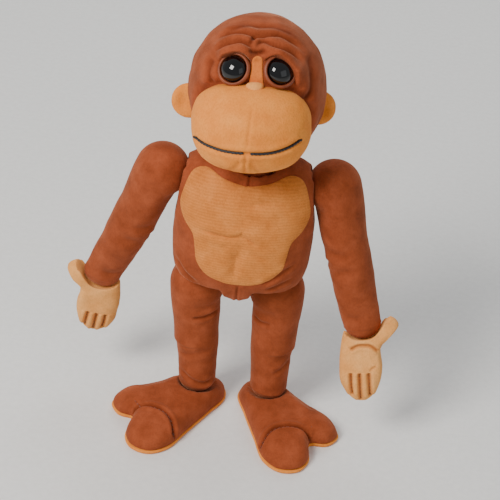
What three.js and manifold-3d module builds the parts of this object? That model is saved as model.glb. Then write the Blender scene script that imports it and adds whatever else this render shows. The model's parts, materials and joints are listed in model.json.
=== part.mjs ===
// A stuffed toy ape, about a third of a metre tall, standing with its arms hanging.
//
// Millimetres and degrees. +Z is up, the toy faces -Y, and +X is the toy's own left.
// The origin is on the floor under the middle of the toy's bounding box.
//
// Every limb is a plush cover around a core of filling. A stuffed limb bends where its filling is
// thin, so the covers are split at each bend, and the two halves meet on a sphere around the pivot:
// the upper half ends in a ball and the lower half starts in a cup.

import * as THREE from "three";
import { mergeVertices } from "three/addons/utils/BufferGeometryUtils.js";
import Module from "manifold-3d";

// ---------------------------------------------------------------- driving dimensions

const PLUSH = 1.5; // thickness of the plush fabric, with its pile
const GAP = 0.3; // clearance between neighbouring pieces
const CLEAR = 0.7; // clearance around a ball that turns in its socket
const ROUND = 16; // sides of a round limb
const SKIN = PLUSH + GAP; // from the outside of a cover to its filling

// The pivots, in the frame of the toy. The x of a limb is the toy's left side.
const NECK = { x: 2.5, z: 205, ball: 15, seat: 22.5 };
const SHOULDER = { x: 56, y: 2, z: 190, cap: 18, lowest: 12 }; // lowest: degrees an arm hangs out
const HIP = { x: 27, y: 2, z: 103, cap: 19 };

// Limb segments: length between pivots and radius at each end.
const ARM = { upper: 52, fore: 50, top: 15, elbow: 15, wrist: 13 };
const LEG = { thigh: 40, shin: 40, top: 16, knee: 15, ankle: 13 };
const JOINT = { elbow: 17, knee: 17.3, wrist: 14.2, ankle: 14.4 }; // radius of the cup at each bend

// How the toy stands: degrees turned from a plain upright pose. Sides are the toy's own.
const REST = {
  head: { back: 12, roll: -3 },
  left: { swing: -7, raise: 17, wrist: -15, curl: -12, splay: 27, legIn: -1 },
  right: { swing: 7, raise: 21, wrist: -19, curl: 0, splay: 40, legIn: 3.5 },
};

// The torso is a stack of superellipses: [height, half width, half depth].
const TORSO = {
  power: 2.5,
  sides: 20,
  stations: [
    [101, 9, 7],
    [104, 27, 18],
    [109, 38, 26],
    [118, 43.5, 31.5],
    [136, 46, 34.5],
    [160, 46.5, 32],
    [184, 48, 28],
    [198, 45.5, 22],
    [206, 37, 14],
    [210, 18, 7],
  ],
};

// The head, measured from the neck pivot, before it is tipped back.
const CRANIUM = { centre: [0, -4, 49], radii: [43.5, 44, 48] };
const MUZZLE = { centre: [0, -38, 35], radii: [37.5, 29, 28.5] };
const EYE = { x: 13.5, z: 71.5, radius: 9.6, pupil: 8, height: 6, post: 2.2, postLength: 15 };
const WASHER = { radius: 7.5, thickness: 2, bore: 2.5, depth: 5.4 };
const BRIDGE = { halfWidth: 4, bottom: 54, top: 81 };
const NOSE = { radii: [7.5, 4.5, 4.5], z: 62.5 };
const EAR = { x: 43, y: -5, z: 39, radius: 11.5, thickness: 6 };
const MOUTH = { thread: 0.8, halfAngle: 60, droop: 5, rise: 8 };

// The fold of plush over the eyes, from the middle outwards: [x, z].
const BROW = {
  radius: 3.4,
  line: [
    [0, 84],
    [12, 87.5],
    [23, 81],
    [32, 66],
  ],
};

// Half outline of the chest patch, from its top middle down to its bottom middle: [x, z].
const PATCH = {
  thickness: 1.2,
  half: [
    [0, 198],
    [14, 200],
    [28, 205],
    [37, 202],
    [43, 192],
    [44.5, 178],
    [39.5, 168],
    [32, 161],
    [30, 152],
    [28, 142],
    [21, 134],
    [10, 130],
    [0, 129],
  ],
};

// Outline of a hand hanging from the wrist pivot: [outward, up]. The thumb is the outward lobe.
const HAND = {
  depth: 6,
  outline: [
    [-8, 2],
    [-12, -11],
    [-12.5, -31],
    [-9.5, -47],
    [-1, -56],
    [8, -56.5],
    [15, -48],
    [17, -33],
    [15, -15],
    [20.5, -9.5],
    [25.5, -3.5],
    [23, 3],
    [13, 6],
  ],
};

// Outline of a foot on the floor under the ankle pivot: [forward, outward]. The big toe is the outward lobe.
const FOOT = {
  sole: 2.5,
  outline: [
    [-22, -4],
    [-14, -15],
    [6, -19],
    [32, -23],
    [54, -26],
    [67, -20],
    [71, -8],
    [65, 3],
    [50, 11],
    [54, 22],
    [49, 33],
    [38, 34],
    [21, 24],
    [2, 17],
    [-14, 11],
  ],
  // Height of the top of the foot: [forward, height].
  back: [
    [-22, 15],
    [0, 19],
    [30, 17],
    [71, 15],
  ],
};

// ---------------------------------------------------------------- materials

function plush(colour) {
  return new THREE.MeshStandardMaterial({ color: colour, roughness: 0.95, metalness: 0 });
}

const MATERIALS = {
  rust: plush(0xa85c3c),
  tan: plush(0xd89c68),
  pale: plush(0xe2bc8e),
  filling: plush(0xf2efe8),
  thread: new THREE.MeshStandardMaterial({ color: 0x14110f, roughness: 0.7, metalness: 0 }),
  pupil: new THREE.MeshStandardMaterial({ color: 0x050505, roughness: 0.05, metalness: 0 }),
  iris: new THREE.MeshStandardMaterial({ color: 0x9a5220, roughness: 0.15, metalness: 0 }),
  washer: new THREE.MeshStandardMaterial({ color: 0xe8e8e4, roughness: 0.5, metalness: 0 }),
};

// ---------------------------------------------------------------- solids

const wasm = await Module();
wasm.setup();

const radians = THREE.MathUtils.degToRad;

/** A geometry as a manifold-3d solid, turned inside out if its faces point inwards. */
function solid(geometry) {
  const bare = geometry.index ? geometry.toNonIndexed() : geometry.clone();
  for (const name of Object.keys(bare.attributes)) if (name !== "position") bare.deleteAttribute(name);
  const merged = mergeVertices(bare, 1e-4);
  const build = (triVerts) =>
    new wasm.Manifold(
      new wasm.Mesh({ numProp: 3, vertProperties: merged.attributes.position.array, triVerts }),
    );
  const triVerts = new Uint32Array(merged.index.array);
  const made = build(triVerts);
  return made.volume() > 0 ? made : build(triVerts.reverse());
}

/** A manifold-3d solid as a three.js geometry with flat faces. */
function geometryOf(shape) {
  const mesh = shape.getMesh();
  const positions = new Float32Array(mesh.numVert * 3);
  for (let i = 0; i < mesh.numVert; i++) {
    positions.set(mesh.vertProperties.subarray(i * mesh.numProp, i * mesh.numProp + 3), i * 3);
  }
  const geometry = new THREE.BufferGeometry();
  geometry.setAttribute("position", new THREE.BufferAttribute(positions, 3));
  geometry.setIndex(new THREE.BufferAttribute(new Uint32Array(mesh.triVerts), 1));
  geometry.computeVertexNormals();
  return geometry;
}

/** A body of revolution about Z. The profile is [radius, height] and starts and ends on the axis. */
function turned(profile, sides = ROUND) {
  const points = profile.map(([radius, height]) => new THREE.Vector2(Math.max(radius, 0), height));
  return solid(new THREE.LatheGeometry(points, sides).rotateX(Math.PI / 2));
}

/** An ellipsoid. */
function egg(radii, centre, sides) {
  const sphere = new THREE.SphereGeometry(1, sides, sides / 2);
  return solid(sphere.rotateX(Math.PI / 2).scale(...radii).translate(...centre));
}

const sphere = (radius, centre, sides) => egg([radius, radius, radius], centre, sides);

/** A closed body through rings of equally many points, with a point at each end. */
function loft(rings, first, last) {
  const count = rings[0].length;
  const points = [first, ...rings.flat(), last];
  const at = (ring, i) => 1 + ring * count + (i % count);
  const faces = [];
  for (let i = 0; i < count; i++) {
    faces.push(0, at(0, i + 1), at(0, i));
    for (let ring = 0; ring < rings.length - 1; ring++) {
      faces.push(at(ring, i), at(ring, i + 1), at(ring + 1, i + 1));
      faces.push(at(ring, i), at(ring + 1, i + 1), at(ring + 1, i));
    }
    faces.push(at(rings.length - 1, i), at(rings.length - 1, i + 1), points.length - 1);
  }
  const geometry = new THREE.BufferGeometry();
  geometry.setAttribute("position", new THREE.Float32BufferAttribute(points.flat(), 3));
  geometry.setIndex(faces);
  return solid(geometry);
}

/** A smooth closed outline through a few points, as evenly spaced points. */
function smooth(outline, count) {
  const corners = outline.map(([a, b]) => new THREE.Vector3(a, b, 0));
  const curve = new THREE.CatmullRomCurve3(corners, true, "centripetal");
  return curve.getSpacedPoints(count).slice(0, count).map((p) => [p.x, p.y]);
}

/** The outline with every point moved inwards. */
function inset(outline, distance) {
  const area = THREE.ShapeUtils.area(outline.map(([a, b]) => new THREE.Vector2(a, b)));
  const side = Math.sign(area);
  return outline.map(([a, b], i) => {
    const [pa, pb] = outline.at(i - 1);
    const [na, nb] = outline[(i + 1) % outline.length];
    const along = new THREE.Vector2(na - pa, nb - pb).normalize();
    return [a - side * along.y * distance, b + side * along.x * distance];
  });
}

/** Linear interpolation in a table of [position, value]. */
function lookUp(table, position) {
  const next = Math.max(1, table.findIndex(([p]) => p >= position));
  const [[p0, v0], [p1, v1]] = [table[next - 1], table[next]];
  return THREE.MathUtils.mapLinear(THREE.MathUtils.clamp(position, p0, p1), p0, p1, v0, v1);
}

/** A flat-bottomed pillow: its outline stands on `base`, and its top swells to height(a, b). */
function pillow(outline, centre, base, height) {
  const levels = [1, 0.92, 0.68];
  const rings = levels.map((share, level) =>
    outline.map(([a, b]) => {
      const [x, y] = [centre[0] + (a - centre[0]) * share, centre[1] + (b - centre[1]) * share];
      const swell = level === 0 ? 0.22 : Math.sqrt(1 - (share * 0.97) ** 4);
      return [x, y, base + height(x, y) * swell];
    }),
  );
  const floor = outline.map(([a, b]) => [a, b, base]);
  return loft([floor, ...rings], [...centre, base], [...centre, base + height(...centre)]);
}

/** A plate of the outline between two heights. */
function plate(outline, low, high) {
  const shape = new THREE.Shape(outline.map(([a, b]) => new THREE.Vector2(a, b)));
  const prism = new THREE.ExtrudeGeometry(shape, { depth: high - low, bevelEnabled: false });
  return solid(prism.translate(0, 0, low));
}

/** A round cord along points, closed at both ends. */
function cord(points, radius, steps) {
  const section = new THREE.Shape().absarc(0, 0, radius, 0, 2 * Math.PI);
  const path = new THREE.CatmullRomCurve3(points.map((p) => new THREE.Vector3(...p)));
  const options = { steps, curveSegments: 3, bevelEnabled: false, extrudePath: path };
  return solid(new THREE.ExtrudeGeometry(section, options));
}

/** Depth below a pivot at which a wall of `radius` meets the sphere of `ball`. */
const below = (ball, radius) => Math.sqrt(ball ** 2 - radius ** 2);

/** Points of an arc of a sphere around `height`, between two radii, going down or up the ball. */
function arc(ball, height, from, to, steps = 4) {
  const angles = [from, to].map((r) => Math.asin(Math.min(1, r / ball)));
  return Array.from({ length: steps + 1 }, (_, i) => {
    const angle = THREE.MathUtils.lerp(...angles, i / steps);
    return [ball * Math.sin(angle), height - ball * Math.cos(angle)];
  });
}

// ---------------------------------------------------------------- meshes

function piece(name, shape, material) {
  const mesh = new THREE.Mesh(geometryOf(shape), material);
  mesh.name = name;
  return mesh;
}

function pivot(position, turns = {}) {
  const group = new THREE.Group();
  group.position.set(...position);
  group.rotation.set(radians(turns.x ?? 0), radians(turns.y ?? 0), radians(turns.z ?? 0));
  return group;
}

// ---------------------------------------------------------------- limbs

/** Cover of a limb's first segment: a dome over the ball at the pivot, open at the bend. */
function domedCover(cap, top, end, length, cup) {
  const foot = -length - below(cup - CLEAR, end);
  const neck = -Math.sqrt(cap ** 2 - top ** 2);
  const dome = (radius, cut) =>
    Array.from({ length: 7 }, (_, i) => {
      const angle = THREE.MathUtils.lerp(0, Math.PI - Math.asin(cut / radius), i / 6);
      return [radius * Math.sin(angle), radius * Math.cos(angle)];
    });
  const outer = dome(cap, top);
  const inner = dome(cap - PLUSH, top - PLUSH);
  const bottom = [
    [end, foot],
    [end - PLUSH, foot],
  ];
  return turned([...outer, ...bottom, ...inner.reverse()]);
}

/** Filling of a limb's first segment: a cup under the pivot's ball, and a ball end at the bend. */
function domedFilling(cap, top, end, length, cup) {
  const seat = cap - PLUSH;
  const width = top - SKIN;
  const bottom = arc(cup - CLEAR, -length, 0, end - SKIN);
  const socket = arc(seat, 0, width, 0);
  return turned([...bottom, ...socket]);
}

/** Cover of a limb's second segment: a sleeve whose rim follows the cup, open at both ends. */
function sleeve(top, end, length, cup, ball) {
  const foot = -length - below(ball, end);
  const rim = [
    [top, -below(cup, top)],
    [top - PLUSH, -below(cup, top - PLUSH)],
  ];
  const bottom = [
    [end - PLUSH, foot],
    [end, foot],
  ];
  return turned([...rim, ...bottom, rim[0]]);
}

/** Filling of a limb's second segment, cupped at its top and ball-ended at its bottom. */
function sleeveFilling(top, end, length, cup, ball) {
  const bottom = arc(ball, -length, 0, end - SKIN);
  const socket = arc(cup, 0, top - SKIN, 0);
  return turned([...bottom, ...socket]);
}

/** A hand that hangs from the wrist pivot: two panels of plush, sewn edge to edge around a filling. */
function hand(side, name) {
  const centre = [8 * side, -14];
  const outline = smooth(HAND.outline.map(([out, up]) => [out * side, up]), 22);
  const core = inset(outline, SKIN);
  const wristBall = sphere(JOINT.wrist, [0, 0, 0], ROUND);
  const full = pillow(outline, centre, GAP / 2, () => HAND.depth);
  const hollow = pillow(core, centre, -GAP, () => HAND.depth - SKIN + GAP);
  const half = pillow(inset(core, 2 * GAP), centre, -GAP, () => HAND.depth - SKIN - GAP);
  const upright = new THREE.Matrix4().makeRotationX(Math.PI / 2).toArray();
  const flipped = new THREE.Matrix4().makeScale(1, -1, 1).toArray();
  const panel = full.subtract(hollow).transform(upright).subtract(wristBall);
  const filling = half.transform(upright).subtract(wristBall);
  return [
    piece(`${name}_palm`, panel, MATERIALS.pale),
    piece(`${name}_hand_back`, panel.transform(flipped), MATERIALS.pale),
    piece(`${name}_hand_filling`, filling.add(filling.transform(flipped)), MATERIALS.filling),
  ];
}

function arm(side, name, pose) {
  const shoulder = pivot([side * SHOULDER.x, SHOULDER.y, SHOULDER.z], { x: pose.swing });
  const knob = sphere(SHOULDER.cap - PLUSH - CLEAR, [0, 0, 0], ROUND);
  shoulder.add(piece(`${name}_shoulder_filling`, knob, MATERIALS.filling));
  const upper = pivot([0, 0, 0], { y: -side * pose.raise });
  const upperShape = [SHOULDER.cap, ARM.top, ARM.elbow, ARM.upper, JOINT.elbow];
  upper.add(
    piece(`${name}_upper_sleeve`, domedCover(...upperShape), MATERIALS.rust),
    piece(`${name}_upper_arm_filling`, domedFilling(...upperShape), MATERIALS.filling),
  );
  const fore = pivot([0, 0, -ARM.upper]);
  const foreShape = [ARM.elbow, ARM.wrist, ARM.fore, JOINT.elbow, JOINT.wrist - CLEAR];
  fore.add(
    piece(`${name}_lower_sleeve`, sleeve(...foreShape), MATERIALS.rust),
    piece(`${name}_forearm_filling`, sleeveFilling(...foreShape), MATERIALS.filling),
  );
  const wrist = pivot([0, 0, -ARM.fore], { x: pose.curl, y: -side * pose.wrist });
  wrist.add(...hand(side, name));
  fore.add(wrist);
  upper.add(fore);
  shoulder.add(upper);
  return shoulder;
}

/** The foot of an ankle pivot at the given height above the floor. */
function foot(side, name, ankleHeight) {
  const floor = -ankleHeight;
  const outward = ([forward, out]) => [out * side, -forward];
  const centre = outward([30, 2]);
  const outline = smooth(FOOT.outline.map(outward), 26);
  const height = (x, y) => lookUp(FOOT.back, -y) - FOOT.sole - GAP;
  const base = floor + FOOT.sole + GAP;
  const ankleBall = sphere(JOINT.ankle, [0, 0, 0], ROUND);
  const full = pillow(outline, centre, base, height);
  const hollow = pillow(inset(outline, PLUSH), centre, base - GAP, (x, y) => height(x, y) + GAP - PLUSH);
  const core = pillow(inset(outline, SKIN), centre, base, (x, y) => height(x, y) - SKIN);
  return [
    piece(`${name}_foot_top`, full.subtract(hollow).subtract(ankleBall), MATERIALS.rust),
    piece(`${name}_sole`, plate(outline, floor, floor + FOOT.sole), MATERIALS.tan),
    piece(`${name}_foot_filling`, core.subtract(ankleBall), MATERIALS.filling),
  ];
}

function leg(side, name, pose) {
  const hip = pivot([side * HIP.x, HIP.y, HIP.z]);
  const knob = sphere(HIP.cap - PLUSH - CLEAR, [0, 0, 0], ROUND);
  hip.add(piece(`${name}_hip_filling`, knob, MATERIALS.filling));
  const thigh = pivot([0, 0, 0], { y: side * pose.legIn });
  const thighShape = [HIP.cap, LEG.top, LEG.knee, LEG.thigh, JOINT.knee];
  thigh.add(
    piece(`${name}_thigh_cover`, domedCover(...thighShape), MATERIALS.rust),
    piece(`${name}_thigh_filling`, domedFilling(...thighShape), MATERIALS.filling),
  );
  const knee = pivot([0, 0, -LEG.thigh]);
  const shinShape = [LEG.knee, LEG.ankle, LEG.shin, JOINT.knee, JOINT.ankle - CLEAR];
  knee.add(
    piece(`${name}_shin_cover`, sleeve(...shinShape), MATERIALS.rust),
    piece(`${name}_shin_filling`, sleeveFilling(...shinShape), MATERIALS.filling),
  );
  const ankle = pivot([0, 0, -LEG.shin], { y: -side * pose.legIn });
  const turnout = pivot([0, 0, 0], { z: side * pose.splay });
  const legDrop = (LEG.thigh + LEG.shin) * Math.cos(radians(pose.legIn));
  turnout.add(...foot(side, name, HIP.z - legDrop));
  ankle.add(turnout);
  knee.add(ankle);
  thigh.add(knee);
  hip.add(thigh);
  return hip;
}

// ---------------------------------------------------------------- torso

/** Half width and half depth of the torso at a height, along a smooth curve through the stations. */
const torsoLine = new THREE.CatmullRomCurve3(
  TORSO.stations.map(([z, width, depth]) => new THREE.Vector3(width, depth, z)),
  false,
  "centripetal",
);

function torsoBody(grow, levels = 11) {
  const rings = Array.from({ length: levels }, (_, level) => {
    const { x: width, y: depth, z } = torsoLine.getPoint(level / (levels - 1));
    const middle = (TORSO.stations[0][0] + TORSO.stations.at(-1)[0]) / 2;
    const lift = grow * THREE.MathUtils.clamp((z - middle) / 40, -1, 1);
    return Array.from({ length: TORSO.sides }, (_, i) => {
      const angle = (2 * Math.PI * i) / TORSO.sides;
      const bulge = (value) => Math.sign(value) * Math.abs(value) ** (2 / TORSO.power);
      return [
        Math.max(1, width + grow) * bulge(Math.cos(angle)),
        Math.max(1, depth + grow) * bulge(Math.sin(angle)),
        z + lift,
      ];
    });
  });
  const [low, high] = [rings[0][0][2], rings.at(-1)[0][2]];
  return loft(rings, [0, 0, low - 0.5], [0, 0, high + 0.5]);
}

/** The room that a thigh needs under the torso as it swings forward to sit. */
function sittingRoom(side) {
  const reach = 60;
  const clear = LEG.top + 3 * GAP + 0.6;
  const outline = [
    [reach, clear],
    [4, clear],
    [-clear, 10],
    [-clear, -8],
    [-clear, -reach],
    [reach, -reach],
  ];
  const shape = new THREE.Shape(outline.map(([forward, up]) => new THREE.Vector2(forward, up)));
  const width = reach;
  const block = new THREE.ExtrudeGeometry(shape, { depth: width, bevelEnabled: false });
  // Extruded along +Z from the (forward, up) plane; turned so that forward is -Y and the depth is X.
  const basis = new THREE.Matrix4().makeBasis(
    new THREE.Vector3(0, -1, 0),
    new THREE.Vector3(0, 0, 1),
    new THREE.Vector3(-1, 0, 0),
  );
  const inner = side * (HIP.x - clear);
  const start = side > 0 ? inner + width : inner;
  return solid(block.applyMatrix4(basis).translate(start, HIP.y, HIP.z));
}

/** The room that an arm needs beside the torso as it swings: a cone about the shoulder's own axis. */
function armRoom(side) {
  const clear = ARM.top + 2 * GAP;
  const slope = Math.tan(radians(SHOULDER.lowest));
  const inner = -clear / Math.cos(radians(SHOULDER.lowest));
  const reach = 70;
  const outer = inner + reach * slope;
  const cone = turned([[0, inner], [reach, outer], [reach, 30], [0, 30]], 24);
  const place = new THREE.Matrix4()
    .makeTranslation(side * SHOULDER.x, SHOULDER.y, SHOULDER.z)
    .multiply(new THREE.Matrix4().makeRotationY((side * Math.PI) / 2));
  return cone.transform(place.toArray());
}

function torso() {
  const caps = [-1, 1].flatMap((side) => [
    sphere(SHOULDER.cap + CLEAR, [side * SHOULDER.x, SHOULDER.y, SHOULDER.z], ROUND),
    armRoom(side),
    sphere(HIP.cap + CLEAR, [side * HIP.x, HIP.y, HIP.z], ROUND),
    sittingRoom(side),
  ]);
  const neckRoom = sphere(NECK.ball + CLEAR, [NECK.x, 0, NECK.z], ROUND);
  const carve = (shape) => caps.reduce((rest, cap) => rest.subtract(cap), shape).subtract(neckRoom);
  const outer = torsoBody(0);
  const cover = carve(outer.subtract(torsoBody(-PLUSH)));
  const filling = carve(torsoBody(-SKIN));

  const mirrored = PATCH.half.slice(1, -1).map(([x, z]) => [-x, z]);
  const outline = smooth([...PATCH.half, ...mirrored.reverse()], 40);
  const stamp = plate(outline, 0, 80).transform(new THREE.Matrix4().makeRotationX(Math.PI / 2).toArray());
  const patch = torsoBody(GAP + PATCH.thickness).subtract(torsoBody(GAP)).intersect(stamp);

  const group = new THREE.Group();
  group.add(
    piece("torso_cover", largest(cover), MATERIALS.rust),
    piece("torso_filling", largest(filling), MATERIALS.filling),
    piece("chest_patch", largest(carve(patch)), MATERIALS.tan),
    piece("neck_filling", sphere(NECK.ball, [NECK.x, 0, NECK.z], ROUND), MATERIALS.filling),
  );
  return group;
}

/** The largest separate body of a solid, without the crumbs that a cut leaves. */
function largest(shape) {
  return shape.decompose().reduce((a, b) => (a.volume() > b.volume() ? a : b));
}

// ---------------------------------------------------------------- head

/** The point of an egg's surface at x and z, on the face side, and its outward normal. */
function onFace({ centre, radii }, x, z) {
  const [dx, dz] = [(x - centre[0]) / radii[0], (z - centre[2]) / radii[2]];
  const dy = -Math.sqrt(Math.max(0, 1 - dx ** 2 - dz ** 2));
  const normal = new THREE.Vector3(dx / radii[0], dy / radii[1], dz / radii[2]).normalize();
  return { point: new THREE.Vector3(x, centre[1] + dy * radii[1], z), normal };
}

const shrink = ({ centre, radii }, by) => egg(radii.map((radius) => radius - by), centre, 20);

/** A solid made along +Z, set on the face at (x, z) with +Z along the surface normal. */
function onEyeSocket(shape, side, depth = 0) {
  const { point, normal } = onFace(CRANIUM, side * EYE.x, EYE.z);
  const turn = new THREE.Quaternion().setFromUnitVectors(new THREE.Vector3(0, 0, 1), normal);
  const matrix = new THREE.Matrix4().compose(
    point.addScaledVector(normal, depth),
    turn,
    new THREE.Vector3(1, 1, 1),
  );
  return shape.transform(matrix.toArray());
}

function eyeParts() {
  const seat = 1.2;
  const dome = Array.from({ length: 6 }, (_, i) => {
    const angle = (i / 5) * (Math.PI / 2);
    return [EYE.pupil * Math.cos(angle), seat + EYE.height * Math.sin(angle)];
  });
  const post = [
    [0, -EYE.postLength],
    [EYE.post, -EYE.postLength],
    [EYE.post, seat],
  ];
  const iris = [
    [EYE.pupil + GAP, seat],
    [EYE.radius, seat],
    [EYE.radius, seat + 1.6],
    [EYE.pupil + GAP + 0.6, seat + 2.8],
    [EYE.pupil + GAP, seat + 2.8],
    [EYE.pupil + GAP, seat],
  ];
  const washer = [
    [WASHER.bore, 0],
    [WASHER.radius, 0],
    [WASHER.radius, WASHER.thickness],
    [WASHER.bore, WASHER.thickness],
    [WASHER.bore, 0],
  ];
  return { dome: turned([...post, ...dome]), iris: turned(iris), washer: turned(washer) };
}

/** The fold of plush over the eyes, a roll sunk into the head along the brow. */
function browFold() {
  const mirrored = BROW.line.slice(1).map(([x, z]) => [-x, z]);
  const points = [...mirrored.reverse(), ...BROW.line].map(([x, z]) => onFace(CRANIUM, x, z).point.toArray());
  return cord(points, BROW.radius, 18);
}

/** Half of the stitched mouth, over the front of the muzzle. */
function mouthStitch(side) {
  const points = Array.from({ length: 7 }, (_, i) => {
    const share = i / 6;
    const x = side * (1.2 + Math.sin(radians(MOUTH.halfAngle * share)) * MUZZLE.radii[0] * 0.9);
    const z = MUZZLE.centre[2] - MOUTH.droop + MOUTH.rise * share ** 2;
    const { point, normal } = onFace(MUZZLE, x, z);
    return point.addScaledVector(normal, MOUTH.thread + GAP).toArray();
  });
  return cord(points, MOUTH.thread, 12);
}

function ear(side) {
  const outline = Array.from({ length: 15 }, (_, i) => {
    const angle = radians(-105 + 15 * i);
    return [side * (EAR.radius * Math.cos(angle) - 1), EAR.radius * Math.sin(angle)];
  });
  const height = () => EAR.thickness / 2;
  const half = pillow(outline, [side * 3, 0], 0, height);
  const both = half.add(half.transform(new THREE.Matrix4().makeScale(1, 1, -1).toArray()));
  const place = new THREE.Matrix4()
    .makeTranslation(side * EAR.x, EAR.y, EAR.z)
    .multiply(new THREE.Matrix4().makeRotationX(Math.PI / 2));
  return both.transform(place.toArray());
}

function head(pose) {
  const group = pivot([NECK.x, 0, NECK.z], { x: -pose.back, y: pose.roll });
  const eye = eyeParts();
  const cranium = shrink(CRANIUM, 0);
  const muzzle = shrink(MUZZLE, 0);
  const neckSeat = sphere(NECK.seat + GAP, [0, 0, 0], ROUND);
  const neckRoom = sphere(NECK.ball + CLEAR, [0, 0, 0], ROUND);

  const strip = (grow) => {
    const { halfWidth, bottom, top } = BRIDGE;
    const box = new THREE.BoxGeometry(2 * (halfWidth + grow), 60, top - bottom + 2 * grow);
    return solid(box.translate(0, CRANIUM.centre[1] - 44, (top + bottom) / 2));
  };
  const noseShape = (grow) => {
    const { point } = onFace(CRANIUM, 0, NOSE.z);
    return egg(NOSE.radii.map((radius) => radius + grow), [0, point.y - 1, NOSE.z], 16);
  };
  const eyeHoles = [-1, 1].map((side) =>
    onEyeSocket(turned([[0, -20], [WASHER.bore, -20], [WASHER.bore, 5], [0, 5]], 12), side),
  );
  const washerRoom = [-1, 1].map((side) => {
    const room = WASHER.radius + GAP;
    const [low, high] = [-WASHER.depth - GAP, 0];
    return onEyeSocket(turned([[0, low], [room, low], [room, high], [0, high]]), side);
  });
  const eyeRoom = [-1, 1].map((side) => {
    const room = EYE.radius + GAP;
    return onEyeSocket(turned([[0, 0.9], [room, 0.9], [room, 12], [0, 12]]), side);
  });
  const without = (shape, cuts) => cuts.reduce((rest, cut) => rest.subtract(cut), shape);

  const shell = cranium.subtract(shrink(CRANIUM, PLUSH));
  const brow = browFold().subtract(shrink(CRANIUM, PLUSH));
  const bridge = shell.intersect(strip(0));
  const noseCut = noseShape(GAP);
  const muzzleCut = shrink(MUZZLE, -GAP);

  group.add(
    piece(
      "head_cover",
      largest(
        without(shell.add(brow), [muzzleCut, neckSeat, strip(GAP), noseCut, ...eyeRoom, ...eyeHoles]),
      ),
      MATERIALS.rust,
    ),
    piece(
      "muzzle_cover",
      largest(without(muzzle, [shrink(MUZZLE, PLUSH), shrink(CRANIUM, PLUSH), noseCut])),
      MATERIALS.tan,
    ),
    piece("nose_bridge", largest(without(bridge, [muzzleCut, noseCut])), MATERIALS.tan),
    piece("nose", largest(noseShape(0).subtract(shrink(CRANIUM, PLUSH))), MATERIALS.tan),
    piece(
      "head_filling",
      largest(
        without(shrink(CRANIUM, SKIN).add(shrink(MUZZLE, SKIN)), [
          neckSeat,
          noseCut,
          ...eyeHoles,
          ...washerRoom,
        ]),
      ).subtract(neckRoom),
      MATERIALS.filling,
    ),
  );
  for (const [side, name] of [
    [1, "left"],
    [-1, "right"],
  ]) {
    const backed = onEyeSocket(eye.washer, side, -WASHER.depth);
    group.add(
      piece(`${name}_eye`, onEyeSocket(eye.dome, side), MATERIALS.pupil),
      piece(`${name}_iris`, onEyeSocket(eye.iris, side), MATERIALS.iris),
      piece(`${name}_eye_washer`, backed, MATERIALS.washer),
      piece(`${name}_ear`, ear(side).subtract(shrink(CRANIUM, -GAP)), MATERIALS.tan),
      piece(`${name}_mouth_stitch`, mouthStitch(side), MATERIALS.thread),
    );
  }
  return group;
}

// ---------------------------------------------------------------- the toy

const toy = new THREE.Group();
toy.add(
  torso(),
  head(REST.head),
  arm(1, "left", REST.left),
  arm(-1, "right", REST.right),
  leg(1, "left", REST.left),
  leg(-1, "right", REST.right),
);

// Stand the toy on the floor, with the middle of its bounding box over the origin.
const box = new THREE.Box3().setFromObject(toy, true);
const middle = box.getCenter(new THREE.Vector3());
toy.position.set(-middle.x, -middle.y, -box.min.z);

export default toy;
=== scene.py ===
import json
import math

import bpy
import numpy as np
from mathutils import Matrix, Quaternion, Vector
from mathutils.bvhtree import BVHTree


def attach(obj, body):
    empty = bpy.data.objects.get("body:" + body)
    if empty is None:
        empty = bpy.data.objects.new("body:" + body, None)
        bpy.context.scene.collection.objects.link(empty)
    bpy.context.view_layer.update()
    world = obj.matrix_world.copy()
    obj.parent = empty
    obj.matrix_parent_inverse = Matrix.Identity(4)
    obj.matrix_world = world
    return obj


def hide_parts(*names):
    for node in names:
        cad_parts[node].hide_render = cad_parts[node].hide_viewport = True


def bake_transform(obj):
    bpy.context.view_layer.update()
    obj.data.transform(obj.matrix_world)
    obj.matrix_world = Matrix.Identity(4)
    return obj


# A stuffed toy ape in short-pile plush. Shapes are worked out in millimetres in each part's own
# frame (+Z up, the toy faces -Y, +X is the toy's left) and written to Blender in metres.

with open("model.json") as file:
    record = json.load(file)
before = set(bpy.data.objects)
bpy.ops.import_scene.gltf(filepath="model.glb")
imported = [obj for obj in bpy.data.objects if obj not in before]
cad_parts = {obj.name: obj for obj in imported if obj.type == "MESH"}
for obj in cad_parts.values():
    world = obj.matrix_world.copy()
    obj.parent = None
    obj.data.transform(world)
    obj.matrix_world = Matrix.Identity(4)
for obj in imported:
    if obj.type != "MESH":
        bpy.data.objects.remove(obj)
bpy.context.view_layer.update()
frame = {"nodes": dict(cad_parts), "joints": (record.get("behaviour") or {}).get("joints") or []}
MM = 0.001

# ---- the CAD's dimensions

NECK = (2.5, 0, 205)
SHOULDER = dict(x=56, y=2, z=190, cap=18)
HIP = dict(x=27, y=2, z=103, cap=19)
ARM = dict(cap=SHOULDER["cap"], top=15, bend=15, end=13, upper=52, lower=50, hem=3.5)
LEG = dict(cap=HIP["cap"], top=16, bend=15, end=13, upper=40, lower=40, hem=4.1)
REST = {
    "head": dict(back=12, roll=-3),
    "left": dict(swing=-7, raise_=17, wrist=-15, curl=-12, splay=27, leg_in=-1),
    "right": dict(swing=7, raise_=21, wrist=-19, curl=0, splay=40, leg_in=3.5),
}
TORSO = [
    (101, 9, 7), (104, 27, 18), (109, 38, 26), (118, 43.5, 31.5), (136, 46, 34.5),
    (160, 46.5, 32), (184, 48, 28), (198, 45.5, 22), (206, 37, 14), (210, 18, 7),
]
CRANIUM = ((0, -4, 49), (43.5, 44, 48))
MUZZLE = ((-2.2, -38, 36), (37.2, 29, 30))
MUZZLE_MIDDLE = (0, -38, 35)
HEAD_SEAT, NECK_ROOM, NECK_BALL = 22.8, 15.7, 15.1
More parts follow.
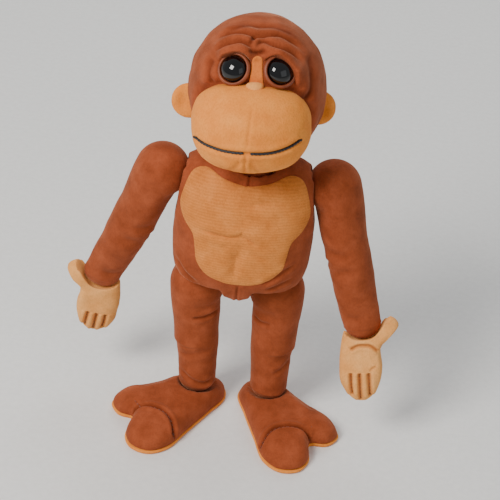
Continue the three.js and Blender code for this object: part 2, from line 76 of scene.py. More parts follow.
EYE = dict(x=13.5, z=71.5, radius=9.6, pupil=8, height=6)
EAR = dict(x=43, y=-5, z=39, radius=11.5, thickness=6)
BROW = [(0, 84), (12, 87.5), (23, 81), (32, 66)]
PATCH = [
    (0, 198), (14, 200), (27, 204), (35.5, 200.5), (40, 190), (42, 178), (38.5, 168),
    (32, 161), (30, 152), (28, 142), (21, 134), (10, 130), (0, 129),
]
HAND = [
    (-8, 2), (-12, -11), (-12.5, -31), (-9.5, -47), (-1, -56), (8, -56.5), (15, -48),
    (17, -33), (15, -15), (20.5, -9.5), (25.5, -3.5), (23, 3), (13, 6),
]
FOOT = [
    (-22, -4), (-14, -15), (6, -19), (32, -23), (54, -26), (67, -20), (71, -8), (65, 3),
    (50, 11), (54, 22), (49, 33), (38, 34), (21, 24), (2, 17), (-14, 11),
]
FOOT_BACK = [(-22, 15), (0, 19), (30, 17), (71, 15)]
SOLE = 2.5
WRIST_BALL, ANKLE_BALL = 14.2, 14.4
ELBOW_SPAN, KNEE_SPAN = (-40, -64), (-29, -51)
BALL_ROOM, BALL_COVER = 0.7, 2.6
SIDES = (("left", 1), ("right", -1))

# ---- frames


def turned(x=0, y=0, z=0):
    """Rotation about X, then Y, then Z of the turned axes, in degrees."""
    turn = Matrix.Identity(3)
    for angle, axis in zip((x, y, z), "XYZ"):
        turn = turn @ Matrix.Rotation(math.radians(angle), 3, axis)
    return np.array(turn)


def joint_at(name):
    """A joint's place in the row frame, in millimetres."""
    return np.array(next(j["pos_m"] for j in frame["joints"] if j["name"] == name)) / MM


class Place:
    """A part's frame: where its origin is in the row frame, and how it is turned."""

    def __init__(self, origin, turn):
        self.origin, self.turn = np.array(origin, float), np.array(turn, float)

    def out(self, points):
        return np.asarray(points, float) @ self.turn.T + self.origin


TOY = Place(joint_at("neck_turn") - np.array(NECK), np.eye(3))
HEAD = Place(joint_at("neck_turn"), turned(x=-REST["head"]["back"], y=REST["head"]["roll"]))


def arm_frames(name, side):
    """The frames of an arm and its hand."""
    pose = REST[name]
    upper = turned(x=pose["swing"]) @ turned(y=-side * pose["raise_"])
    hand = upper @ turned(x=pose["curl"], y=-side * pose["wrist"])
    wrist = joint_at(f"{name}_wrist_bend")
    return Place(joint_at(f"{name}_shoulder_swing"), upper), Place(wrist, hand)


def leg_frames(name, side):
    """The frames of a leg and its foot."""
    pose = REST[name]
    return (
        Place(joint_at(f"{name}_hip_swing"), turned(y=side * pose["leg_in"])),
        Place(joint_at(f"{name}_ankle_bend"), turned(z=side * pose["splay"])),
    )


# ---- mesh tools


def norm(vectors):
    return np.linalg.norm(vectors, axis=1)


def unit(vectors):
    return vectors / norm(vectors)[:, None]


def bell(value, width):
    return np.exp(-((value / width) ** 2))


def ball(count):
    """Unit directions of a cube blown up to a sphere, and its quads."""
    edge = np.tan(np.linspace(-1, 1, count + 1) * np.pi / 4)
    u, v = np.meshgrid(edge, edge, indexing="ij")
    points, quads, start = [], [], 0
    grid = np.arange((count + 1) ** 2).reshape(count + 1, count + 1)
    for axis in range(3):
        for sign in (-1, 1):
            side = np.empty(u.shape + (3,))
            side[..., axis] = sign
            side[..., (axis + 1) % 3] = u * sign
            side[..., (axis + 2) % 3] = v
            points.append(side.reshape(-1, 3))
            corners = [grid[:-1, :-1], grid[1:, :-1], grid[1:, 1:], grid[:-1, 1:]]
            quads.append(np.stack([c.ravel() for c in corners], 1) + start)
            start += grid.size
    merged, place = np.unique(np.round(np.vstack(points), 7), axis=0, return_inverse=True)
    return unit(merged), place.ravel()[np.vstack(quads)]


def star(inside, centre, count, stretch):
    """The surface of the solid inside() as seen from its centre."""
    rays, quads = ball(count)
    rays, centre = unit(rays * np.array(stretch)), np.array(centre, float)
    reach, open_ = np.zeros(len(rays)), np.ones(len(rays), bool)
    while open_.any() and reach.max() < 150:
        open_ &= inside(centre + rays * (reach + 1)[:, None])
        reach[open_] += 1
    low, high = reach, reach + 1
    for _ in range(8):
        middle = (low + high) / 2
        held = inside(centre + rays * middle[:, None])
        low, high = np.where(held, middle, low), np.where(held, high, middle)
    return centre + rays * low[:, None], quads


def rings_about_z(profile, sides):
    """Rings through a profile of (radius, height)."""
    angle = np.linspace(0, 2 * np.pi, sides, endpoint=False)
    return [
        np.stack([r * np.cos(angle), r * np.sin(angle), np.full(sides, h)], 1) for r, h in profile
    ]


def tube(rings, closed_ends=True):
    """Quads through rings of equally many points. The ends close on a middle point."""
    rings = np.asarray(rings, float)
    count, around = rings.shape[:2]
    index = np.arange(count * around).reshape(count, around)
    nxt = np.roll(index, -1, axis=1)
    quads = np.stack([index[:-1], nxt[:-1], nxt[1:], index[1:]], -1).reshape(-1, 4).tolist()
    points = rings.reshape(-1, 3)
    if closed_ends:
        points = np.vstack([points, rings[0].mean(0), rings[-1].mean(0)])
        first, last = len(points) - 2, len(points) - 1
        quads += [[index[0, (i + 1) % around], index[0, i], first] for i in range(around)]
        quads += [[index[-1, i], index[-1, (i + 1) % around], last] for i in range(around)]
    return points, quads


def linked(name, data):
    """A new object in the scene."""
    obj = bpy.data.objects.new(name, data)
    bpy.context.scene.collection.objects.link(obj)
    return obj


def mesh_of(name, points, faces):
    mesh = bpy.data.meshes.new(name)
    sizes = np.array([len(f) for f in faces])
    mixed = sizes.min() != sizes.max()
    corners = np.fromiter((i for f in faces for i in f), int) if mixed else np.array(faces)
    mesh.vertices.add(len(points))
    mesh.vertices.foreach_set("co", np.asarray(points, np.float32).ravel())
    mesh.loops.add(int(sizes.sum()))
    mesh.loops.foreach_set("vertex_index", corners.ravel().astype(np.int32))
    mesh.polygons.add(len(sizes))
    mesh.polygons.foreach_set("loop_start", (np.cumsum(sizes) - sizes).astype(np.int32))
    mesh.update(calc_edges=True)
    return mesh


def refined(points, faces, levels=1):
    """The mesh after Catmull-Clark subdivision."""
    obj = linked("refine", mesh_of("refine", points, faces))
    modifier = obj.modifiers.new("refine", "SUBSURF")
    modifier.levels = modifier.render_levels = levels
    graph = bpy.context.evaluated_depsgraph_get()
    done = bpy.data.meshes.new_from_object(obj.evaluated_get(graph))
    out = np.empty(len(done.vertices) * 3)
    done.vertices.foreach_get("co", out)
    quads = np.empty(len(done.loops), np.int32)
    done.loops.foreach_get("vertex_index", quads)
    bpy.data.objects.remove(obj)
    bpy.data.meshes.remove(done)
    return out.reshape(-1, 3), quads.reshape(-1, 4)


CLOTH_SCALE, CLOTH_SLACK, CLOTH_FRAMES = 10 * MM, 0.6, 20


def inflated(points, quads, held, most, name):
    """The closed cover after stuffing: cloth under pressure, with the held points still.

    It is simulated ten times life size, where the solver is steady, and starts a little slack. held
    is 1 where a seam holds the cloth, and no point moves more than `most` millimetres."""
    start = points - normals_of(points, quads) * (CLOTH_SLACK * (1 - held))[:, None]
    obj = linked(name, mesh_of(name, start * CLOTH_SCALE, quads))
    pins = obj.vertex_groups.new(name="held")
    for index in np.flatnonzero(held > 0.02):
        pins.add([int(index)], float(held[index]), "REPLACE")
    cloth = obj.modifiers.new("cloth", "CLOTH")
    cloth.settings.quality = 6
    cloth.settings.mass = 0.3
    cloth.settings.tension_stiffness = cloth.settings.compression_stiffness = 8
    cloth.settings.shear_stiffness = 5
    cloth.settings.bending_stiffness = 0.6
    cloth.settings.use_pressure = True
    cloth.settings.uniform_pressure_force = 14
    cloth.settings.vertex_group_mass = "held"
    cloth.settings.effector_weights.gravity = 0
    cloth.collision_settings.use_collision = False
    scene = bpy.context.scene
    scene.frame_start = cloth.point_cache.frame_start = 1
    scene.frame_end = cloth.point_cache.frame_end = CLOTH_FRAMES
    for moment in range(1, CLOTH_FRAMES + 1):
        scene.frame_set(moment)
    graph = bpy.context.evaluated_depsgraph_get()
    done = obj.evaluated_get(graph).to_mesh()
    out = np.empty(len(points) * 3, np.float32)
    done.vertices.foreach_get("co", out)
    obj.evaluated_get(graph).to_mesh_clear()
    bpy.data.objects.remove(obj)
    scene.frame_set(1)
    move = out.reshape(-1, 3) / CLOTH_SCALE - points
    return points + move * np.minimum(1, most / np.maximum(norm(move), 1e-9))[:, None]


def normals_of(points, quads):
    """Vertex normals of a mesh of quads."""
    a, b, c, d = (points[quads[:, k]] for k in range(4))
    flat = np.cross(c - a, d - b)
    sums = [np.bincount(quads.ravel(), np.repeat(flat[:, k], 4), len(points)) for k in range(3)]
    out = np.stack(sums, 1)
    return out / np.maximum(norm(out), 1e-12)[:, None]


def smooth_step(value, low, high):
    t = np.clip((value - low) / (high - low), 0, 1)
    return t * t * (3 - 2 * t)


def curve(corners, count, closed=False):
    """Evenly spaced points on a centripetal Catmull-Rom curve through the corners."""
    corners = np.asarray(corners, float)
    if closed:
        padded = np.vstack([corners[-1:], corners, corners[:2]])
    else:
        ends = 2 * corners[[0, -1]] - corners[[1, -2]]
        padded = np.vstack([ends[:1], corners, ends[1:]])
    fine = []
    for p0, p1, p2, p3 in zip(padded, padded[1:], padded[2:], padded[3:]):
        steps = [max(np.linalg.norm(b - a), 1e-6) ** 0.5 for a, b in ((p0, p1), (p1, p2), (p2, p3))]
        knots = np.cumsum([0] + steps)
        t = np.linspace(knots[1], knots[2], 24, endpoint=False)[:, None]
        a1 = (knots[1] - t) / knots[1] * p0 + t / knots[1] * p1
        a2 = ((knots[2] - t) * p1 + (t - knots[1]) * p2) / (knots[2] - knots[1])
        a3 = ((knots[3] - t) * p2 + (t - knots[2]) * p3) / (knots[3] - knots[2])
        b1 = ((knots[2] - t) * a1 + t * a2) / knots[2]
        b2 = ((knots[3] - t) * a2 + (t - knots[1]) * a3) / (knots[3] - knots[1])
        fine.append(((knots[2] - t) * b1 + (t - knots[1]) * b2) / (knots[2] - knots[1]))
    fine.append(padded[-2][None])
    fine = np.vstack(fine)
    length = np.concatenate([[0], np.cumsum(norm(np.diff(fine, axis=0)))])
    want = np.linspace(0, length[-1], count + 1 if closed else count)
    if closed:
        want = want[:-1]
    return np.stack([np.interp(want, length, fine[:, k]) for k in range(fine.shape[1])], 1)


def to_line(flat, line):
    """Distance from a line in the plane, the side it is on, and how far along it lies, 0 to 1."""
    line = np.asarray(line, float)
    lengths = norm(np.diff(line, axis=0))
    starts = np.concatenate([[0], np.cumsum(lengths)])
    best, side, where = np.full(len(flat), 1e9), np.ones(len(flat)), np.zeros(len(flat))
    for i, (a, b) in enumerate(zip(line, line[1:])):
        t = np.clip((flat - a) @ (b - a) / lengths[i] ** 2, 0, 1)
        offset = flat - (a + t[:, None] * (b - a))
        distance = norm(offset)
        cross = (b - a)[0] * (flat - a)[:, 1] - (b - a)[1] * (flat - a)[:, 0]
        closer = distance < best
        best = np.where(closer, distance, best)
        side = np.where(closer, np.sign(cross), side)
        where = np.where(closer, (starts[i] + t * lengths[i]) / starts[-1], where)
    return best, side, where


def lumps(points, size, seed):
    """Soft unevenness of a stuffing, between -1 and 1."""
    rng = np.random.default_rng(seed)
    total = np.zeros(len(points))
    for _ in range(9):
        wave = rng.normal(size=3)
        wave *= 2 * np.pi / (size * rng.uniform(0.7, 1.6) * np.linalg.norm(wave))
        total += np.sin(points @ wave + rng.uniform(0, 6.28))
    return total / 4


class Skin:
    """A piece's surface while it is worked on: points, faces, and how much painted shade darkens each
    fold.
    """

    def __init__(self, points, faces, levels=1):
        self.points, self.faces = refined(points, faces, levels) if levels else (points, faces)
        self.shade = np.zeros(len(self.points))
        self.renew()

    def renew(self):
        self.normals = normals_of(self.points, self.faces)

    @property
    def xz(self):
        return self.points[:, [0, 2]]

    x, y, z = (property(lambda self, axis=axis: self.points[:, axis]) for axis in range(3))

    def front(self, low, high):
        """0 where the surface is behind y = -low, and 1 in front of y = -high."""
        return smooth_step(-self.points[:, 1], low, high)

    def move(self, direction, amount):
        self.points = self.points + direction * amount[:, None]
        self.renew()

    def push(self, amount):
        self.move(self.normals, amount)

    def fold(self, flat, line, depth, width, lip=0.0, where=None, ends=0.15, shade=0.6):
        """Sinks a crease along a line of the flat view, with a soft lip on both sides, and paints shade
        into the crease's colour.
        """
        line = curve(line, 24) if len(line) > 2 else np.asarray(line, float)
        distance, _, along = to_line(flat, line)
        fade = smooth_step(along, 0, ends) * smooth_step(1 - along, 0, ends) if ends else 1
        fade = fade * (1 if where is None else where)
        core = bell(distance, width) * fade
        ridge = bell(distance - 2.2 * width, 1.3 * width) * fade
        self.push(lip * ridge - depth * core)
        # painted shade: darkens the colour inside the crease, where less light falls
        self.shade = np.maximum(self.shade, shade * core)

    def folds(self, flat, table, where):
        for line, depth, width, lip, ends, shade in table:
            self.fold(flat, line, depth, width, lip, where, ends, shade)

    def piece(self, name, place, material):
        return finish_piece(name, self.points, self.faces, place, material, self.shade)

    def tree(self):
        return BVHTree.FromPolygons(self.points.tolist(), self.faces.tolist())


def finish_piece(name, points, faces, place, material, shade=None):
    mesh = mesh_of(name, place.out(points) * MM, faces)
    mesh.shade_smooth()
    if shade is not None:
        # the painted shade of folds and seams goes to the plush materials as the shade attribute
        layer = mesh.attributes.new("shade", "FLOAT", "POINT")
        layer.data.foreach_set("value", np.asarray(shade, np.float32))
    mesh.materials.append(material)
    return linked(name, mesh)


def onto(tree, points, direction):
    """Points thrown along a direction onto a surface, and the surface's normals there."""
    hits, normals = [], []
    for p in points:
        hit, normal, _, _ = tree.ray_cast(Vector(p) - 150 * Vector(direction), Vector(direction))
        if hit is None:
            hit, normal, _, _ = tree.find_nearest(Vector(p))
        hits.append(np.array(hit))
        normals.append(np.array(normal))
    return np.array(hits), np.array(normals)


def thread(path, radius, twist, sides=8):
    """A two-ply thread along a path."""
    path = np.asarray(path, float)
    length = norm(np.diff(path, axis=0)).sum()
    path = curve(path, max(8, int(length / 0.35)))
    along = unit(np.gradient(path, axis=0))
    up = unit(np.cross(along, [0.31, 0.2, 0.93]))
    across = np.cross(along, up)
    run = np.linspace(0, length, len(path))
    rings = []
    for i, p in enumerate(path):
        angle = np.linspace(0, 2 * np.pi, sides, endpoint=False)
        end = min(1.0, (min(i, len(path) - 1 - i) / 2.5 + 0.35))
        r = radius * end * (1 + 0.16 * np.cos(2 * angle - 2 * np.pi * run[i] / twist))
        spokes = np.cos(angle)[:, None] * up[i] + np.sin(angle)[:, None] * across[i]
        rings.append(p + r[:, None] * spokes)
    return tube(rings)


def joined(parts):
    """Several meshes as one."""
    points, faces, start = [], [], 0
    for p, f in parts:
        points.append(np.asarray(p))
        faces += [[int(i) + start for i in face] for face in f]
        start += len(p)
    return np.vstack(points), faces


STITCH_RADIUS = 0.24


def stitches(path, normals, length, gap):
    """A row of sewn stitches along a path on a surface: each rises from the cloth and dips back."""
    path, normals = np.asarray(path), np.asarray(normals)
    run = np.concatenate([[0], np.cumsum(norm(np.diff(path, axis=0)))])
    parts = []
    start = 0.2
    while start + length < run[-1]:
        t = np.linspace(start, start + length, 6)
        middle = np.stack([np.interp(t, run, path[:, k]) for k in range(3)], 1)
        out = np.stack([np.interp(t, run, normals[:, k]) for k in range(3)], 1)
        rise = 0.32 * np.sin(np.linspace(0, np.pi, 6)) - 0.12
        parts.append(thread(middle + out * rise[:, None], STITCH_RADIUS, twist=1.2, sides=6))
        start += length + gap
    return joined(parts)


# ---- materials


def linear(r, g, b):
    return tuple(((c / 255 + 0.055) / 1.055) ** 2.4 if c > 10 else c / 3294.6 for c in (r, g, b)) + (1,)


class Nodes:
    """A material's node tree, with short ways of adding to it."""

    def __init__(self, name):
        self.material = bpy.data.materials.new(name)
        self.material.use_nodes = True
        self.tree = self.material.node_tree
        self.shader = self.tree.nodes["Principled BSDF"]
        self.place = self.add("ShaderNodeTexCoord").outputs["Object"]

    def add(self, kind, **settings):
        node = self.tree.nodes.new(kind)
        for key, value in settings.items():
            setattr(node, key, value)
        return node

    def link(self, a, b):
        self.tree.links.new(a, b)

    def put(self, socket, value):
        """Links a socket, or sets it."""
        if isinstance(value, bpy.types.NodeSocket):
            self.link(value, socket)
        else:
            socket.default_value = value

    def noise(self, per_metre, detail=2.0, rough=0.5, stretch=None):
        node = self.add("ShaderNodeTexNoise")
        node.inputs["Scale"].default_value = per_metre
        node.inputs["Detail"].default_value = detail
        node.inputs["Roughness"].default_value = rough
        source = self.place
        if stretch:
            mapping = self.add("ShaderNodeMapping")
            mapping.inputs["Scale"].default_value = stretch
            self.link(source, mapping.inputs["Vector"])
            source = mapping.outputs["Vector"]
        self.link(source, node.inputs["Vector"])
        return node.outputs["Fac"]

    def ramp(self, fac, stops):
        node = self.add("ShaderNodeValToRGB")
        ramp = node.color_ramp
        while len(ramp.elements) < len(stops):
            ramp.elements.new(0.5)
        for element, (position, colour) in zip(ramp.elements, stops):
            element.position, element.color = position, colour
        self.link(fac, node.inputs["Fac"])
        return node.outputs["Color"]

    def mix(self, fac, a, b, kind="MIX"):
        node = self.add("ShaderNodeMix", data_type="RGBA", blend_type=kind)
        for key, value in (("Factor", fac), ("A", a), ("B", b)):
            self.put(node.inputs[key], value)
        return node.outputs["Result"]

    def math(self, operation, a, b=0.0):
        node = self.add("ShaderNodeMath", operation=operation)
        for socket, value in zip(node.inputs, (a, b)):
            self.put(socket, value)
        return node.outputs["Value"]

    def colour(self, value):
        self.link(value, self.shader.inputs["Base Color"])

    def roughness(self, source, spread, least):
        rough = self.math("ADD", self.math("MULTIPLY", source, spread), least)
        self.link(rough, self.shader.inputs["Roughness"])

    def bump(self, height, strength, distance):
        node = self.add("ShaderNodeBump")
        node.inputs["Strength"].default_value = strength
        node.inputs["Distance"].default_value = distance
        self.link(height, node.inputs["Height"])
        self.link(node.outputs["Normal"], self.shader.inputs["Normal"])

    def set(self, **values):
        for key, value in values.items():
            self.shader.inputs[key.replace("_", " ")].default_value = value
        return self.material


def plush(name, dark, middle, light, sheen, crease_shade, ribs=False):
    """Short-pile plush: brushed patches, single tufts, and painted shade that darkens the colour where a
    fold is deep.
    """
    dark, middle, light, sheen = (linear(*c) for c in (dark, middle, light, sheen))
    n = Nodes(name)
    patches = n.noise(85, 3, 0.6)
    tufts = n.noise(1050, 2, 0.7, stretch=(1, 1, 0.55))
    fine = n.noise(2600, 1, 0.5)
    colour = n.ramp(patches, [(0.30, dark), (0.5, middle), (0.72, light)])
    speck = [(0.30, (0.72, 0.68, 0.66, 1)), (0.52, (1, 1, 1, 1)), (0.75, (1.16, 1.14, 1.12, 1))]
    colour = n.mix(0.45, colour, n.ramp(tufts, speck), "MULTIPLY")
    height = n.math("ADD", n.math("MULTIPLY", tufts, 0.7), n.math("MULTIPLY", fine, 0.3))
    if ribs:
        rows = n.add("ShaderNodeTexWave", bands_direction="Z")
        for key, value in dict(Scale=165, Distortion=2.2, Detail=1.5).items():
            rows.inputs[key].default_value = value
        rows.inputs["Detail Scale"].default_value = 3
        n.link(n.place, rows.inputs["Vector"])
        band = [(0.2, (0.90, 0.87, 0.84, 1)), (0.8, (1.05, 1.04, 1.03, 1))]
        colour = n.mix(0.6, colour, n.ramp(rows.outputs["Fac"], band), "MULTIPLY")
        height = n.math("ADD", height, n.math("MULTIPLY", rows.outputs["Fac"], 0.35))
    # painted shade: the colour is multiplied towards the shade colour where the shade attribute of folds
    # and seams is high
    fold = n.add("ShaderNodeAttribute", attribute_name="shade").outputs["Fac"]
    colour = n.mix(fold, colour, n.mix(1.0, colour, crease_shade, "MULTIPLY"))
    n.colour(colour)
    n.roughness(tufts, 0.14, 0.84)
    n.bump(height, 0.55, 0.0006)
    return n.set(Specular_IOR_Level=0.12, Sheen_Weight=0.28, Sheen_Roughness=0.4, Sheen_Tint=sheen)


# the last colour given to each plush is its painted shade colour, which its folds and seams are darkened
# towards
CREASE_SHADE_RUST, CREASE_SHADE_TAN = (0.30, 0.16, 0.10, 1), (0.42, 0.25, 0.14, 1)
RUST = plush(
    "rust_plush", (130, 60, 32), (145, 69, 39), (161, 80, 48), (255, 190, 150), CREASE_SHADE_RUST
)
TAN = plush(
    "tan_plush", (224, 130, 50), (232, 140, 57), (238, 150, 66), (255, 200, 135), CREASE_SHADE_TAN
)
RIBBED = plush(
    "ribbed_tan_plush", (192, 113, 50), (204, 124, 58), (215, 136, 68), (255, 205, 145),
    (0.50, 0.32, 0.20, 1), ribs=True,
)
NOSE_PLUSH = plush(
    "nose_plush", (228, 150, 78), (236, 160, 88), (242, 170, 98), (255, 210, 155), CREASE_SHADE_TAN
)
BRIDGE = plush(
    "bridge_plush", (200, 104, 42), (210, 114, 50), (220, 126, 60), (255, 196, 135), CREASE_SHADE_TAN
)
PALE = plush(
    "pale_plush", (226, 152, 80), (234, 163, 90), (241, 174, 102), (255, 214, 160),
    (0.36, 0.18, 0.08, 1),
)


def thread_material(name, dark, light):
    n = Nodes(name)
    strands = n.noise(1800, 2, 0.6, stretch=(1, 3, 1))
    n.colour(n.ramp(strands, [(0.3, linear(*dark)), (0.7, linear(*light))]))
    n.roughness(strands, 0.25, 0.45)
    n.bump(strands, 0.4, 0.0002)
    return n.set(Sheen_Weight=0.2, Sheen_Roughness=0.4)


BLACK_THREAD = thread_material("black_thread", (8, 7, 7), (34, 28, 26))
BROWN_THREAD = thread_material("brown_thread", (108, 56, 28), (150, 88, 50))
RUST_THREAD = thread_material("rust_thread", (92, 40, 22), (128, 62, 38))


def eye_material(name, inner, outer, coat, gloss):
    """Glossy moulded plastic with the faint clouding of a moulded dome."""
    n = Nodes(name)
    cloud = n.noise(160, 2, 0.5)
    n.colour(n.ramp(cloud, [(0.35, linear(*inner)), (0.7, linear(*outer))]))
    n.roughness(cloud, 0.05, gloss)
    return n.set(Specular_IOR_Level=0.5, Coat_Weight=coat, Coat_Roughness=0.02)


PUPIL = eye_material("eye_black", (2, 2, 3), (7, 7, 10), 0.1, gloss=0.03)
RIM = eye_material("eye_rim", (116, 52, 22), (142, 68, 32), 0.0, gloss=0.55)


def washer_material():
    n = Nodes("washer_plastic")
    flow = n.noise(420, 3, 0.6)
    n.colour(n.ramp(flow, [(0.3, linear(222, 222, 216)), (0.7, linear(236, 236, 230))]))
    n.roughness(flow, 0.2, 0.35)
    n.bump(flow, 0.2, 0.0002)
    return n.material


def floor_material():
    n = Nodes("floor")
    grain = n.noise(220, 4, 0.6)
    n.colour(n.ramp(grain, [(0.3, linear(226, 225, 222)), (0.7, linear(233, 232, 229))]))
    return n.set(Roughness=0.9, Specular_IOR_Level=0.1)


# ---- hanging pieces on their bodies and hiding the CAD parts


def declare(obj, body, nodes=(), bend=None):
    """Hangs a piece on its body's empty, or bakes its place into its mesh when bend is given, and hides
    the CAD nodes it stands for.
    """
    if bend:
        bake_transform(obj)
    else:
        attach(obj, body)
    if nodes:
        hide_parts(*nodes)
    return obj


# ---- head

VIEW_UP = math.radians(23)  # the creases are laid out as seen from this far above the front


def in_egg(points, egg):
    return (((points - np.array(egg[0])) / np.array(egg[1])) ** 2).sum(1) < 1


def egg_gap(points, egg):
    """Rough distance of points outside (or inside, negative) an egg."""
    centre, radii = np.array(egg[0], float), np.array(egg[1], float)
    scaled = (points - centre) / radii
    reach = norm(scaled)
    slope = norm(scaled / radii) / np.maximum(reach, 1e-6)
    return (reach - 1) / np.maximum(slope, 1e-6)


def on_egg(egg, x, z):
    """The front surface of an egg at x and z, and its normal."""
    (cx, cy, cz), (rx, ry, rz) = egg
    dx, dz = (x - cx) / rx, (z - cz) / rz
    dy = -math.sqrt(max(0, 1 - dx * dx - dz * dz))
    normal = np.array([dx / rx, dy / ry, dz / rz])
    return np.array([x, cy + dy * ry, z]), normal / np.linalg.norm(normal)


CREASES = [  # line, depth, width and lip
    # the faint crease across the top of the forehead
    (
        [(-20.6, 72.2), (-12.3, 74.7), (-4, 75.7), (5.8, 75.4), (14, 74.7), (21, 72.2), (26.6, 68.1)],
        0.9, 1.5, 0.4,
    ),
    # the deep crease over both brows, dipping in the middle
    (
        [(-25.5, 66.7), (-16.5, 71.2), (-6.7, 71.2), (-0.5, 68.8), (5.1, 69.5), (14.1, 70.9),
         (23.1, 66.7), (28, 61.8)],
        2.0, 1.5, 0.9,
    ),
    # the lower creases over each eye
    (
        [(-25.5, 59), (-19.3, 62.9), (-13.7, 64.6), (-9.5, 65.3), (-5.4, 63.8), (-0.5, 61.1)],
        1.6, 1.3, 0.7,
    ),
    ([(-0.5, 61.1), (4.4, 65.6), (10.6, 63.9), (18.3, 61.8), (24.5, 59), (28, 54.9)], 1.6, 1.3, 0.7),
    # the slanting tuck between the brows
    ([(-0.5, 68.8), (-2.4, 66), (-4, 63)], 1.2, 1.2, 0.4),
]
CREASE_SHIFT = (-1.6, 1.9)
LID_RISE = {1: 8.0, -1: 7.0}
LIDS = {
    1: [(2.5, 76.5), (4.4, 78.5), (9.2, 79.8), (14.1, 77.2), (19.7, 71.9), (23.1, 66.8), (25.5, 60.5)],
    -1: [(-1.5, 75), (-3.6, 77.5), (-6.7, 79.8), (-10.9, 80), (-16.5, 78.3), (-25.5, 74)],
}


def make_head():
    def inside(p):
        return in_egg(p, CRANIUM) & (norm(p) >= HEAD_SEAT)

    points, quads = star(inside, CRANIUM[0], 46, (1, 1, 1.1))
    skin = Skin(points, quads, 2)
    front = skin.front(-6, 8)
    skin.push(0.5 * lumps(skin.points, 34, 1) * (1 - front) + 0.25 * lumps(skin.points, 12, 2))

    brow = curve([(-x, z) for x, z in BROW[:0:-1]] + BROW, 40)
    distance, _, _ = to_line(skin.xz, brow)
    skin.push(3.0 * bell(distance, 6.5) * front)

    for side, line in LIDS.items():
        distance, hand, along = to_line(skin.xz, curve(line, 40))
        over = distance * hand * side
        fade = smooth_step(along, 0.0, 0.3) * smooth_step(1 - along, 0.0, 0.3)
        rise = smooth_step(over, -0.9, 0.7) * bell(np.maximum(over - 0.7, 0), 5.5)
        normal = on_egg(CRANIUM, side * EYE["x"], EYE["z"])[1]
        skin.move(normal, LID_RISE[side] * rise * fade * front)
        # painted shadow: a dark line just under each lid's edge
        skin.shade = np.maximum(skin.shade, 0.5 * bell(over + 0.9, 0.8) * fade * front)

    # each crease, tuck and seam below also darkens its colour with painted shade
    for line, depth, width, lip in CREASES:
        up = skin.y * math.sin(VIEW_UP) + skin.z * math.cos(VIEW_UP)
        flat = np.stack([skin.x, up], 1)
        skin.fold(flat, np.add(line, CREASE_SHIFT), depth, width, lip, where=front, ends=0.18)

    # the tuck at the top of the bridge
    skin.fold(skin.xz, [(-6, 85), (0, 82.6), (6, 85)], 1.5, 1.3, 0.6, where=front, ends=0.3, shade=0.7)
    # the cheeks: a crease that runs down beside each eye, and the muzzle's seam
    skin.fold(skin.xz, [(-27, 76), (-29, 68), (-27, 60)], 1.2, 1.6, 0.5, where=front)
    skin.fold(skin.xz, [(30, 80), (33, 70), (33, 60), (31, 50)], 1.4, 1.9, 0.6, where=front)
    gap = muzzle_gap(skin.points)
    seam = bell(gap, 2.2)
    puff = bell(gap - 5, 3.4) * skin.front(0, 14)
    skin.push(0.8 * puff - 1.3 * seam)
    # painted shade in the groove of the muzzle's seam
    skin.shade = np.maximum(skin.shade, 0.45 * bell(gap, 1.5))
    # the seam over the top of the head and down the back
    back = smooth_step(skin.y, 8, 22)
    flat = skin.points[:, :2] * (1, 0)
    skin.fold(flat, [(0, -1), (0, 1)], 0.7, 0.8, 0.25, where=back, ends=0, shade=0.4)
    # flat beds under the eyes
    for side in (1, -1):
        point, normal = on_egg(CRANIUM, side * EYE["x"], EYE["z"])
        depth = (skin.points - point) @ normal
        radial = norm((skin.points - point) - depth[:, None] * normal)
        _, hand, _ = to_line(skin.xz, curve(LIDS[side], 40))
        under = (hand * side < 0) * (np.abs(depth) < 12)
        dish = smooth_step(EYE["radius"] + 2.2 - radial, 0, 1.6) * under
        skin.move(normal, np.where(depth > 0.7, 0.7 - depth, 0) * dish)
    return skin


def muzzle_reach(p):
    """How far out points are from the middle of the muzzle, which is squarer than an egg: 1 on it."""
    x, y, z = ((p - np.array(MUZZLE[0])) / np.array(MUZZLE[1])).T
    return np.sqrt((np.abs(x) ** 2.4 + np.abs(z) ** 2.4) ** (2 / 2.4) + y**2)


def muzzle_gap(p):
    """Rough distance of points from the muzzle's surface."""
    return (muzzle_reach(p) - 1) * 31


def make_muzzle():
    points, quads = star(lambda p: muzzle_reach(p) < 1, MUZZLE_MIDDLE, 34, (1.25, 1, 1))
    gap = egg_gap(points, CRANIUM)
    sewn = np.clip(bell(gap, 2.5) + (gap < 0), 0, 1)
    dart = bell(points[:, 0] + 4, 1.5) * (points[:, 2] < 26) * (points[:, 1] < -40)
    points = inflated(points, quads, np.maximum(sewn, 0.6 * dart), 1.5, "muzzle")
    skin = Skin(points, quads, 2)
    skin.push(0.35 * lumps(skin.points, 26, 5) + 0.12 * lumps(skin.points, 9, 6))
    skin.points[:, 0] -= smooth_step(20 - skin.z, 0, 14)
    gap = egg_gap(skin.points, CRANIUM)
    skin.push(-1.4 * bell(gap, 2.4) + 0.5 * bell(gap - 6, 4))
    # painted shade in the groove where the muzzle is sewn to the head
    skin.shade = 0.45 * bell(gap, 1.6) * (gap > -1.5)
    xz, front = skin.xz, skin.front(38, 46)
    # the mouth's crease and the folds below also take painted shade
    skin.folds(xz, [(MOUTH, 1.2, 1.5, 0.5, 0.02, 0.25)] + MUZZLE_FOLDS, front)
    return skin


